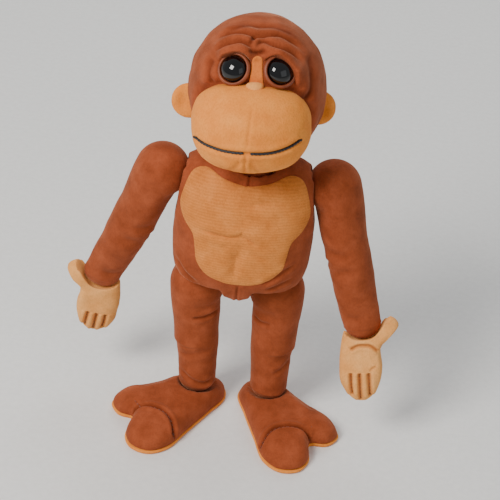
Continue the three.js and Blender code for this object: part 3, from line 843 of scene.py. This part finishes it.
MUZZLE_FOLDS = [  # line in x and z, depth, width, lip, faded share of each end, painted shade
    ([(-3.6, 27), (-3.9, 20), (-4.2, 13), (-4.4, 8)], 0.6, 1.0, 0.25, 0.15, 0.15),
    ([(-1.2, 56), (-2.5, 40), (-3.5, 28)], 0.25, 1.0, 0.1, 0.15, 0.08),
    # soft pinches running up from the chin dart
    ([(-6.4, 21), (-10.9, 14), (-15.2, 10)], 0.5, 1.6, 0.2, 0.15, 0.15),
    ([(-1.2, 21), (2.1, 14), (5.6, 10)], 0.5, 1.6, 0.2, 0.15, 0.15),
]
MOUTH = [
    (-36.4, 30.5), (-29.4, 28.4), (-19.4, 27.0), (-9.4, 26.6), (-3.4, 26.7), (2.6, 26.7), (12.6, 27.6),
    (22.6, 30.4), (29.4, 33.6),
]


def make_strip(tree, outline, thickness, rings, around, sunk):
    """A thin pad sewn on a surface: its outline is in x and z, and it follows the surface under it."""
    edge = curve(outline, around, closed=True)
    middle = edge.mean(0)
    shares = np.sin(np.linspace(0, np.pi / 2, rings))[::-1]
    over, under = [], []
    for share in shares[:-1]:
        flat = middle + (edge - middle) * share
        hits, normals = onto(tree, np.insert(flat, 1, 0, axis=1), (0, 1, 0))
        lift = thickness * (1 - share**14) ** 0.5
        over.append(hits + normals * lift)
        under.append(hits - normals * sunk)
    return tube(np.array([*reversed(over), *under]))


def lathe(profile, centre, normal, sides, ring=False):
    """A turned shape about a normal at a centre: solid, or a ring whose profile closes on itself."""
    if ring:
        points, faces = tube(rings_about_z(profile + profile[:1], sides), closed_ends=False)
        count = len(points) - sides
        points, faces = refined(points[:count], [[i % count for i in f] for f in faces])
    else:
        points, faces = tube(rings_about_z(profile, sides))
    turn = Vector((0, 0, 1)).rotation_difference(Vector(normal)).to_matrix()
    return points @ np.array(turn).T + centre, faces


def make_eyes():
    for name, side in SIDES:
        point, normal = on_egg(CRANIUM, side * EYE["x"], EYE["z"])
        arc = np.linspace(0, np.pi / 2 - 0.02, 14)
        dome = [(0.05 + EYE["pupil"] * math.sin(a), 1.2 + EYE["height"] * math.cos(a)) for a in arc]
        dome += [(EYE["pupil"], 0.4), (EYE["pupil"] - 0.6, 0.2), (2.2, 0.1), (2.2, -12)]
        points, faces = lathe(dome[::-1], point, normal, 48)
        eye = finish_piece(f"{name}_eye_dome", points, faces, HEAD, PUPIL)
        declare(eye, "head", [f"{name}_eye"])
        r = EYE["radius"]
        ring = [
            (8.35, 0.7), (r + 0.6, 0.5), (r + 1.0, 1.2), (r + 0.8, 2.1), (r, 2.8), (9.1, 3.0),
            (8.6, 2.7), (8.35, 2.0),
        ]
        points, faces = lathe(ring, point, normal, 64, ring=True)
        rim = finish_piece(f"{name}_eye_ring", points, faces, HEAD, RIM)
        declare(rim, "head", [f"{name}_iris"])


def make_ear(side):
    radius, thick = EAR["radius"], EAR["thickness"] / 2
    out = EAR["x"] - (3.4 if side > 0 else -0.6)

    def inside(p):
        x, y, z = p[:, 0] * side, p[:, 1], p[:, 2]
        share = (np.hypot(x + 1.0, z) / radius) ** 4
        return (x > -5) & (share < 1) & (np.abs(y) < thick * np.maximum(1 - share, 0) ** 0.45)

    points, quads = star(inside, (side * 3, 0, 0), 12, (1, 0.45, 1.2))
    skin = Skin(points, quads, 2)
    cup = np.exp(-((skin.x * side - 3.5) / 3.6) ** 2 - (skin.z / 5.5) ** 2)
    skin.push(-1.5 * cup * (skin.y < 0))
    # painted shade in the hollow of the ear's cup
    skin.shade = 0.18 * cup * (skin.y < 0)
    rim = np.hypot(skin.x * side + 1, skin.z) / radius
    skin.push(-0.5 * bell(rim - 0.98, 0.05) * (np.abs(skin.y) < 0.8))
    skin.points = skin.points + np.array([side * out, EAR["y"], EAR["z"]])
    return skin


def build_head():
    head = make_head()
    obj = head.piece("head_plush", HEAD, RUST)
    declare(obj, "head", ["head_cover", "head_filling"])
    muzzle = make_muzzle()
    declare(muzzle.piece("muzzle_plush", HEAD, TAN), "head", ["muzzle_cover"])
    tree, snout = head.tree(), muzzle.tree()

    half = [(2.6, 79.8), (3.4, 74), (4.0, 68), (4.9, 62), (5.6, 55)]
    outline = [(0, 81)] + half + [(0, 53)] + [(-x, z) for x, z in half[::-1]]
    points, faces = make_strip(tree, outline, 0.7, rings=9, around=96, sunk=0.5)
    skin = Skin(points, faces, 1)
    declare(skin.piece("bridge_plush", HEAD, BRIDGE), "head", ["nose_bridge"])

    top, _ = on_egg(CRANIUM, 0, 62.5)
    centre = np.array([-0.8, top[1] - 1.2, 62.6])

    def in_nose(p):
        x, y, z = ((p - centre) / np.array([6.8, 4.1, 3.8])).T
        x = x / np.maximum(0.72 + 0.34 * z, 0.2)
        return x**2 + y**2 + z**2 < 1

    points, quads = star(in_nose, centre, 10, (1.4, 0.9, 0.9))
    nose = Skin(points, quads, 2)
    declare(nose.piece("nose_plush", HEAD, NOSE_PLUSH), "head", ["nose"])

    make_eyes()
    for name, side in SIDES:
        ear = make_ear(side).piece(f"{name}_ear_plush", HEAD, TAN)
        declare(ear, "head", [f"{name}_ear"])
        line = curve(MOUTH, 90)
        half = line[(line[:, 0] + 3.4) * side > 1.6]
        hits, normals = onto(snout, np.insert(half, 1, 0, axis=1), (0, 1, 0))
        points, faces = thread(hits + normals * 0.25, 0.86, twist=2.4)
        mouth = finish_piece(f"{name}_mouth_thread", points, faces, HEAD, BLACK_THREAD)
        declare(mouth, "head", [f"{name}_mouth_stitch"])
        washer = frame["nodes"][f"{name}_eye_washer"].data.materials
        washer.clear()
        washer.append(WASHER)


# ---- torso

ARM_CLEAR, LOWEST = 15.8, math.radians(12)  # room for a hanging arm, and how far in it can swing
SIT, SIT_LOW = 17.5, 10  # room for a sitting leg in front of the hip, and behind it


def in_stack(p):
    """Inside the torso before any room is cut for the limbs."""
    heights, widths, depths = np.array(TORSO).T
    x, y, z = np.abs(p).T
    reach = (x / np.interp(z, heights, widths)) ** 2.5 + (y / np.interp(z, heights, depths)) ** 2.5
    return (reach < 1) & (z > 100.6) & (z < 210.4)


def in_torso(p):
    """Inside the torso, with room for the neck, the arms and the legs."""
    held = in_stack(p) & (norm(p - np.array(NECK)) > NECK_ROOM)
    for side in (1, -1):
        from_shoulder = p - np.array([side * SHOULDER["x"], SHOULDER["y"], SHOULDER["z"]])
        held &= norm(from_shoulder) > SHOULDER["cap"] + BALL_ROOM
        across = np.hypot(from_shoulder[:, 1], from_shoulder[:, 2])
        out = side * from_shoulder[:, 0]
        held &= ~((across < 70) & (out > across * math.tan(LOWEST) - ARM_CLEAR / math.cos(LOWEST)))
        from_hip = p - np.array([side * HIP["x"], HIP["y"], HIP["z"]])
        held &= norm(from_hip) > HIP["cap"] + BALL_ROOM
        forward, up = -from_hip[:, 1], from_hip[:, 2]
        roof = SIT_LOW + (SIT - SIT_LOW) / (4 + SIT) * (forward + SIT)
        beside = side * from_hip[:, 0] > -SIT
        held &= ~(beside & (forward > -SIT) & (up < SIT) & (up < roof))
    # the crotch between the two rooms is round
    low = np.maximum(120 - p[:, 2], 0) / (8 + 8 * smooth_step(p[:, 1], -8, 16))
    held &= ((p[:, 0] / 11.5) ** 2 + low**2 < 1) | (p[:, 2] > 120) | (np.abs(p[:, 0]) > 11.5)
    return held


BELLY = [  # line in x and z, depth, width, lip, faded share of each end, painted shade
    (
        [(-31, 166.2), (-22.8, 166.4), (-13.2, 165), (-6.9, 164.6), (-0.6, 166), (3.4, 164.8),
         (8.2, 161.8), (14.5, 159)],
        1.5, 1.7, 0.9, 0.25, 0.45,
    ),
    ([(-3, 186.3), (5, 187.2), (12.8, 188.9), (20.7, 189.3), (28, 188)], 0.9, 2.2, 0.5, 0.25, 0.22),
    ([(-2.5, 156), (-2.8, 146), (-3, 133)], 1.5, 3.0, 0.5, 0.25, 0.35),
    ([(6, 156), (12, 152.5), (18.5, 150)], 0.8, 1.6, 0.5, 0.25, 0.25),
    ([(-14, 158), (-6, 160), (2, 159.5)], 0.6, 1.5, 0.3, 0.25, 0.18),
    ([(14, 129.5), (22.5, 136), (31, 141), (38, 144)], 1.1, 1.6, 0.6, 0.25, 0.35),
    ([(18, 124), (27, 129), (37, 132)], 0.9, 1.5, 0.5, 0.25, 0.3),
    ([(-43, 135), (-36, 128), (-26, 123)], 0.9, 1.6, 0.5, 0.25, 0.3),
    # the middle seam above and below the patch
    ([(0.4, 212), (0.6, 196)], 0.8, 0.8, 0.3, 0.05, 0.5),
    ([(0.3, 130), (0.2, 100)], 0.6, 0.8, 0.3, 0.2, 0.4),
]


def make_torso():
    points, quads = star(in_torso, (0, 0, 152), 34, (1, 0.75, 1.3))
    rooms = np.full(len(points), False)
    for step in np.vstack([np.eye(3), -np.eye(3)]) * 2.5:
        rooms |= ~in_torso(points + step) & in_stack(points + step)
    seam = bell(points[:, 0], 2.0)
    held = np.maximum(rooms * 1.0, seam * 0.9)
    points = inflated(points, quads, held, 1.6, "torso")
    skin = Skin(points, quads, 2)
    skin.push(0.4 * lumps(skin.points, 40, 11) + 0.2 * lumps(skin.points, 14, 12))
    xz = skin.xz
    skin.folds(xz, BELLY, skin.front(0, 10))
    back = smooth_step(skin.y, 0, 8)
    # the back seam darkens with painted shade too
    skin.fold(xz, [(0, 209), (0.2, 150), (0, 101)], 0.8, 0.8, 0.3, where=back, ends=0.02, shade=0.45)
    return skin


def build_torso():
    torso = make_torso()
    obj = torso.piece("torso_plush", TOY, RUST)
    declare(obj, "torso", ["torso_cover", "torso_filling"])
    tree = torso.tree()
    outline = PATCH + [(-x, z) for x, z in PATCH[-2:0:-1]]
    points, faces = make_strip(tree, outline, 1.25, rings=26, around=160, sunk=0.4)
    patch = Skin(points, faces, 1)
    obj = patch.piece("chest_patch_plush", TOY, RIBBED)
    declare(obj, "torso", ["chest_patch"])

    rays, quads = ball(8)
    neck = Skin(np.array(NECK) + rays * NECK_BALL, quads, 2)
    neck.push(0.15 * lumps(neck.points, 8, 31))
    declare(neck.piece("neck_plush", TOY, RUST), "neck", ["neck_filling"])


# ---- limbs


def limb_profile(cap, top, bend, end, upper, lower, hem):
    """A dome about the pivot, a tapering tube, and a hem that turns in at the end."""
    stop = math.pi - math.asin(top / cap)
    dome = [(cap * math.sin(a), cap * math.cos(a)) for a in np.linspace(0.06, stop, 14)]
    foot = -(upper + lower) - hem
    heights = np.linspace(dome[-1][1] - 3, foot + 1.4, 36)
    middle = [(float(np.interp(-h, [0, upper, upper + lower], [top, bend, end])), h) for h in heights]
    close = math.hypot(end, hem) - 0.05
    angles = np.linspace(math.asin((end - 0.9) / close), 0.08, 8)
    cap_end = [(close * math.sin(a), -(upper + lower) - close * math.cos(a)) for a in angles]
    hem_line = [(end + 0.1, foot + 0.7), (end - 0.1, foot + 0.1), (end - 0.5, foot - 0.1)]
    return list(reversed(dome + middle + hem_line + cap_end))


def shoulder_line(skin, cap, top, reach, outward, wrap):
    """Fills the limb out below its dome, on the sides that face away from the torso."""
    x, y, z = skin.points.T
    away = smooth_step(x * outward + wrap * np.abs(y), -6, 8)
    down = np.clip(-z / reach, 0, 1)
    radius = np.hypot(x, y)
    want = top + (cap - top - 0.2) * (1 - smooth_step(down, 0.05, 1.0))
    grow = np.where((z < 0) & (z > -reach), np.maximum(want - radius, 0), 0) * away
    skin.points[:, :2] += skin.points[:, :2] / np.maximum(radius, 1e-6)[:, None] * grow[:, None]
    skin.renew()


def keep_dome(skin, cap):
    """How much of a change to allow: none on the dome that turns in its socket."""
    return smooth_step(-skin.z, cap * 0.35, cap * 1.25)


def build_knob(name, part, place, cap):
    """The stuffed ball inside a limb's dome."""
    rays, quads = ball(6)
    knob = Skin(rays * (cap - BALL_COVER), quads, 2)
    piece = knob.piece(f"{name}_{part}_plush", Place(place.origin, np.eye(3)), RUST)
    declare(piece, f"{name}_{part}", [f"{name}_{part}_filling"])


SLEEVE_FOLDS = [  # out from the arm's middle, and up; the last column is painted shade
    ([(-15, -38), (-6, -43), (4, -45)], 0.9, 3.0, 0.3, 0.4, 0.2),
    ([(-14, -60), (-4, -57), (8, -59)], 0.8, 3.4, 0.3, 0.4, 0.15),
    ([(-13, -92), (-4, -96), (6, -95)], 0.7, 2.8, 0.25, 0.4, 0.15),
]


def build_arm(name, side):
    place, hand_place = arm_frames(name, side)
    skin = Skin(*tube(rings_about_z(limb_profile(**ARM), 40)))
    # the sleeve is flatter towards the hand
    skin.points[:, 1] *= 1 - 0.38 * smooth_step(-skin.z, 62, 104)
    shoulder_line(skin, ARM["cap"], ARM["top"], 44, side, 0.6)
    free = keep_dome(skin, ARM["cap"])
    lumpy = 0.35 * lumps(skin.points, 26, 21 + side) + 0.12 * lumps(skin.points, 9, 23 + side)
    skin.push((lumpy - 0.1) * free)
    xz = skin.xz * np.array([side, 1])
    skin.folds(xz, SLEEVE_FOLDS, skin.front(-4, 5) * free)
    inner = smooth_step(-skin.x * side, -2, 4) * free
    yz = skin.points[:, [1, 2]]
    # the elbow fold and the seam below darken with painted shade
    skin.fold(yz, [(-9, -50), (0, -53), (9, -50)], 0.9, 1.6, 0.4, where=inner, shade=0.3)
    # the sewn seam along the inside of the sleeve
    seam = [(1, -12), (0.4, -60), (1, -108)]
    skin.fold(yz, seam, 0.45, 0.7, 0.15, where=inner * (xz[:, 0] < -6), ends=0.02, shade=0.35)
    sleeve = skin.piece(f"{name}_sleeve_plush", place, RUST)
    start, end = place.out([[0, 0, z] for z in ELBOW_SPAN])
    parts = ("upper_sleeve", "upper_arm_filling", "lower_sleeve", "forearm_filling")
    bend = (f"{name}_upper_arm", f"{name}_forearm", start, end)
    declare(sleeve, None, [f"{name}_{part}" for part in parts], bend)

    build_knob(name, "shoulder", place, ARM["cap"])
    build_hand(name, side, hand_place)


FINGERS = [
    [(-4.1, -36), (-3.2, -45), (-1.6, -53.4)],
    [(2, -35.2), (3.2, -45), (4.6, -57)],
    [(8.1, -34.4), (9.6, -44), (11, -53)],
]
PALM_FOLDS = [  # the root of the left thumb, which is folded in, and a small tuck; the last column is painted shade
    ([(-6.6, -20.2), (-1.2, -16.3), (3.2, -15.3), (7.6, -15.3), (14, -19.3)], 1.4, 1.1, 0.8, 0.1, 0.7),
    ([(8.5, -34), (10.5, -31), (13, -29.5)], 0.6, 0.9, 0.2, 0.15, 0.3),
]


def outline_share(flat, outline, centre):
    """How far out a point is on its way from the centre to a closed outline: 1 on the outline."""
    centre = np.array(centre, float)
    edge = curve(outline, 240, closed=True) - centre
    angle = np.arctan2(edge[:, 1], edge[:, 0])
    order = np.argsort(angle)
    radius = norm(edge)[order]
    offset = flat - centre
    want = np.arctan2(offset[:, 1], offset[:, 0])
    reach = np.interp(want, angle[order], radius, period=2 * np.pi)
    return norm(offset) / np.maximum(reach, 1e-6)


def build_hand(name, side, place):
    outline = [(out * side, up) for out, up in HAND]
    centre = (8 * side, -14)

    def inside(p):
        share = outline_share(p[:, [0, 2]], outline, centre)
        swell = np.maximum(1 - np.minimum(share, 1) ** 4.5, 0) ** 0.5
        return (share < 1) & (np.abs(p[:, 1]) < 7.4 * swell) & (norm(p) > WRIST_BALL)

    points, quads = star(inside, (4 * side, 0, -26), 30, (0.7, 0.35, 1.1))
    skin = Skin(points, quads, 2)
    share = outline_share(skin.xz, outline, centre)
    skin.push(0.25 * lumps(skin.points, 14, 41 + side))
    edge = bell(share - 0.99, 0.05) * (np.abs(skin.y) < 1.2)
    skin.push(-0.35 * edge)
    fingers = [[(x * side, z) for x, z in line] for line in FINGERS]
    for line in fingers:
        for face in (-1, 1):
            where = smooth_step(skin.y * face, 0.2, 1.4)
            # the finger creases darken with painted shade
            skin.fold(skin.xz, line, 2.1, 1.25, 0.55, where=where, ends=0.06, shade=0.75)
    if name == "left":
        palm = skin.front(0.5, 2)
        for fold in PALM_FOLDS:
            skin.folds(skin.xz, [fold], palm)
    hand = skin.piece(f"{name}_hand_plush", place, PALE)
    nodes = [f"{name}_palm", f"{name}_hand_back", f"{name}_hand_filling"]
    declare(hand, f"{name}_hand", nodes)
    tree, parts = skin.tree(), []
    for line in fingers:
        path = np.insert(curve(line, 30), 1, 0, axis=1)
        for face in (-1, 1):
            hits, normals = onto(tree, path, (0, -face, 0))
            parts.append(stitches(hits, normals, 2.0, 0.9))
    sewn = finish_piece(f"{name}_finger_stitches", *joined(parts), place, BROWN_THREAD)
    declare(sewn, f"{name}_hand")


LEG_FOLDS = {  # across each leg in the toy's x and up; the last column is painted shade
    "right": [
        ([(-3, -20), (6, -19.5), (15, -18.5)], 1.3, 1.3, 0.5, 0.15, 0.5),
        ([(-11, -70), (-3, -76), (6, -80), (12, -78)], 1.0, 1.7, 0.7, 0.15, 0.3),
        ([(-12, -56), (0, -52), (12, -50)], 0.5, 2.4, 0.3, 0.15, 0.15),
    ],
    "left": [
        ([(-15, -19), (-9, -20), (-2, -19)], 1.0, 1.4, 0.4, 0.15, 0.4),
        ([(2, -64), (8, -60), (14, -54)], 0.7, 1.8, 0.4, 0.15, 0.2),
    ],
}


def build_leg(name, side):
    place, foot_place = leg_frames(name, side)
    skin = Skin(*tube(rings_about_z(limb_profile(**LEG), 40)))
    shoulder_line(skin, LEG["cap"], LEG["top"], 46, side * 0.8, 0)
    free = keep_dome(skin, LEG["cap"]) * smooth_step(-skin.z, 10, 30)
    lumpy = 0.35 * lumps(skin.points, 28, 51 + side) + 0.12 * lumps(skin.points, 10, 53 + side)
    skin.push(lumpy * free)
    xz = skin.xz
    skin.folds(xz, LEG_FOLDS[name], skin.front(-4, 5))
    inner, seam = smooth_step(-xz[:, 0] * side, 2, 8), [(0, -16), (0.4, -50), (0, -83)]
    yz = skin.points[:, [1, 2]]
    # the inner seam darkens with painted shade
    skin.fold(yz, seam, 0.45, 0.7, 0.15, where=inner, ends=0.02, shade=0.35)
    leg = skin.piece(f"{name}_leg_plush", place, RUST)
    start, end = place.out([[0, 0, z] for z in KNEE_SPAN])
    parts = ("thigh_cover", "thigh_filling", "shin_cover", "shin_filling")
    bend = (f"{name}_thigh", f"{name}_shin", start, end)
    declare(leg, None, [f"{name}_{part}" for part in parts], bend)

    build_knob(name, "hip", place, LEG["cap"])
    build_foot(name, side, foot_place)


TOE = [(51.5, 11.5), (46, 6), (42, -2), (40.5, -10), (42, -18), (46.5, -26)]


SOLE_EDGE = [  # share of the way out to the outline, and height
    (0.5, 0), (0.9, 0), (0.985, 0.05), (1.012, 0.6), (1.024, 1.5), (1.018, 2.2), (0.99, 2.6),
    (0.9, 2.62), (0.5, 2.62),
]


def build_foot(name, side, place):
    floor = -place.origin[2]

    def outward(line):
        return [(out * side, -forward) for forward, out in line]

    outline = outward(FOOT)
    base = floor + SOLE + 0.15
    centre = (2 * side, -30)

    def inside(p):
        share = outline_share(p[:, :2], outline, centre)
        height = np.interp(-p[:, 1], *np.array(FOOT_BACK).T) - SOLE
        swell = np.maximum(1 - np.minimum(share, 1) ** 4, 0) ** 0.5
        held = (share < 1) & (p[:, 2] > base) & (p[:, 2] < base + 0.6 + (height - 0.6) * swell)
        return held & (norm(p) > ANKLE_BALL)

    points, quads = star(inside, (1 * side, -12, base + 2.5), 34, (1, 1.5, 0.5))
    skin = Skin(points, quads, 2)
    top = smooth_step(skin.z - base, 1.0, 3.5)
    away = smooth_step(norm(skin.points), ANKLE_BALL + 0.6, ANKLE_BALL + 5)
    skin.push(0.35 * lumps(skin.points, 18, 61 + side) * top * away)
    toe = outward(TOE)
    # the toe crease and the dent darken with painted shade
    skin.fold(skin.points[:, :2], toe, 1.7, 1.3, 0.7, where=top, ends=0.03, shade=0.7)
    dent = outward([(8, 14), (20, 17), (32, 22)])
    skin.fold(skin.points[:, :2], dent, 0.5, 2.0, 0.3, where=top * away, shade=0.15)
    foot = skin.piece(f"{name}_foot_plush", place, RUST)
    declare(foot, f"{name}_foot", [f"{name}_foot_top", f"{name}_foot_filling"])

    tree = skin.tree()
    path = curve(toe, 44)
    hits, normals = onto(tree, np.insert(path, 2, 0, axis=1), (0, 0, -1))
    seam = stitches(hits, normals, 2.2, 1.0)
    sewn = finish_piece(f"{name}_toe_stitches", *seam, place, RUST_THREAD)
    declare(sewn, f"{name}_foot")

    edge = curve(outline, 150, closed=True)
    middle = np.array(centre)
    rings = []
    for share, height in SOLE_EDGE:
        flat = middle + (edge - middle) * share
        rings.append(np.stack([flat[:, 0], flat[:, 1], np.full(len(flat), floor + height)], 1))
    points, faces = tube(np.array(rings))
    sole = finish_piece(f"{name}_sole_plush", points, faces, place, TAN)
    declare(sole, f"{name}_foot", [f"{name}_sole"])


WASHER = washer_material()
build_head()
build_torso()
for limb_name, limb_side in SIDES:
    build_arm(limb_name, limb_side)
    build_leg(limb_name, limb_side)

# ---- floor, lights and camera

half = 3.0
floor_corners = [(-half, -half, 0), (half, -half, 0), (half, half, 0), (-half, half, 0)]
floor_mesh = mesh_of("floor", floor_corners, [(0, 1, 2, 3)])
floor_mesh.materials.append(floor_material())
linked("floor", floor_mesh)


def area(name, place, aim, width, height, power, colour):
    light = bpy.data.lights.new(name, "AREA")
    light.shape, light.size, light.size_y = "RECTANGLE", width, height
    light.energy, light.color = power, colour
    obj = linked(name, light)
    obj.location = place
    obj.rotation_euler = (Vector(aim) - Vector(place)).to_track_quat("-Z", "Y").to_euler()


area("key", (-0.75, -0.75, 1.15), (0, 0, 0.15), 0.55, 0.55, 23, (1.0, 0.97, 0.93))
area("fill", (0.9, -0.9, 0.7), (0, 0, 0.15), 0.9, 0.9, 1.8, (0.95, 0.97, 1.0))
area("back", (0.1, 1.0, 1.0), (0, 0, 0.15), 1.0, 0.6, 6, (1.0, 1.0, 1.0))

world = bpy.data.worlds.new("studio")
world.use_nodes = True
sky = world.node_tree.nodes["Background"].inputs
sky["Color"].default_value = (0.94, 0.97, 1.0, 1)
sky["Strength"].default_value = 0.46
bpy.context.scene.world = world

lens = bpy.data.cameras.new("camera")
lens.sensor_fit = "AUTO"
distance, span = 1.1, 0.330
lens.angle = 2 * math.atan(span / 2 / distance)
camera = linked("camera", lens)
tilt = math.radians(35)
back_off = Vector((0, -math.cos(tilt), math.sin(tilt)))
camera.location = Vector((0.0092, 0, 0.140)) + back_off * distance
camera.rotation_mode = "QUATERNION"
camera.rotation_quaternion = (-back_off).to_track_quat("-Z", "Y") @ Quaternion((0, 0, 1), math.radians(6))
bpy.context.scene.camera = camera
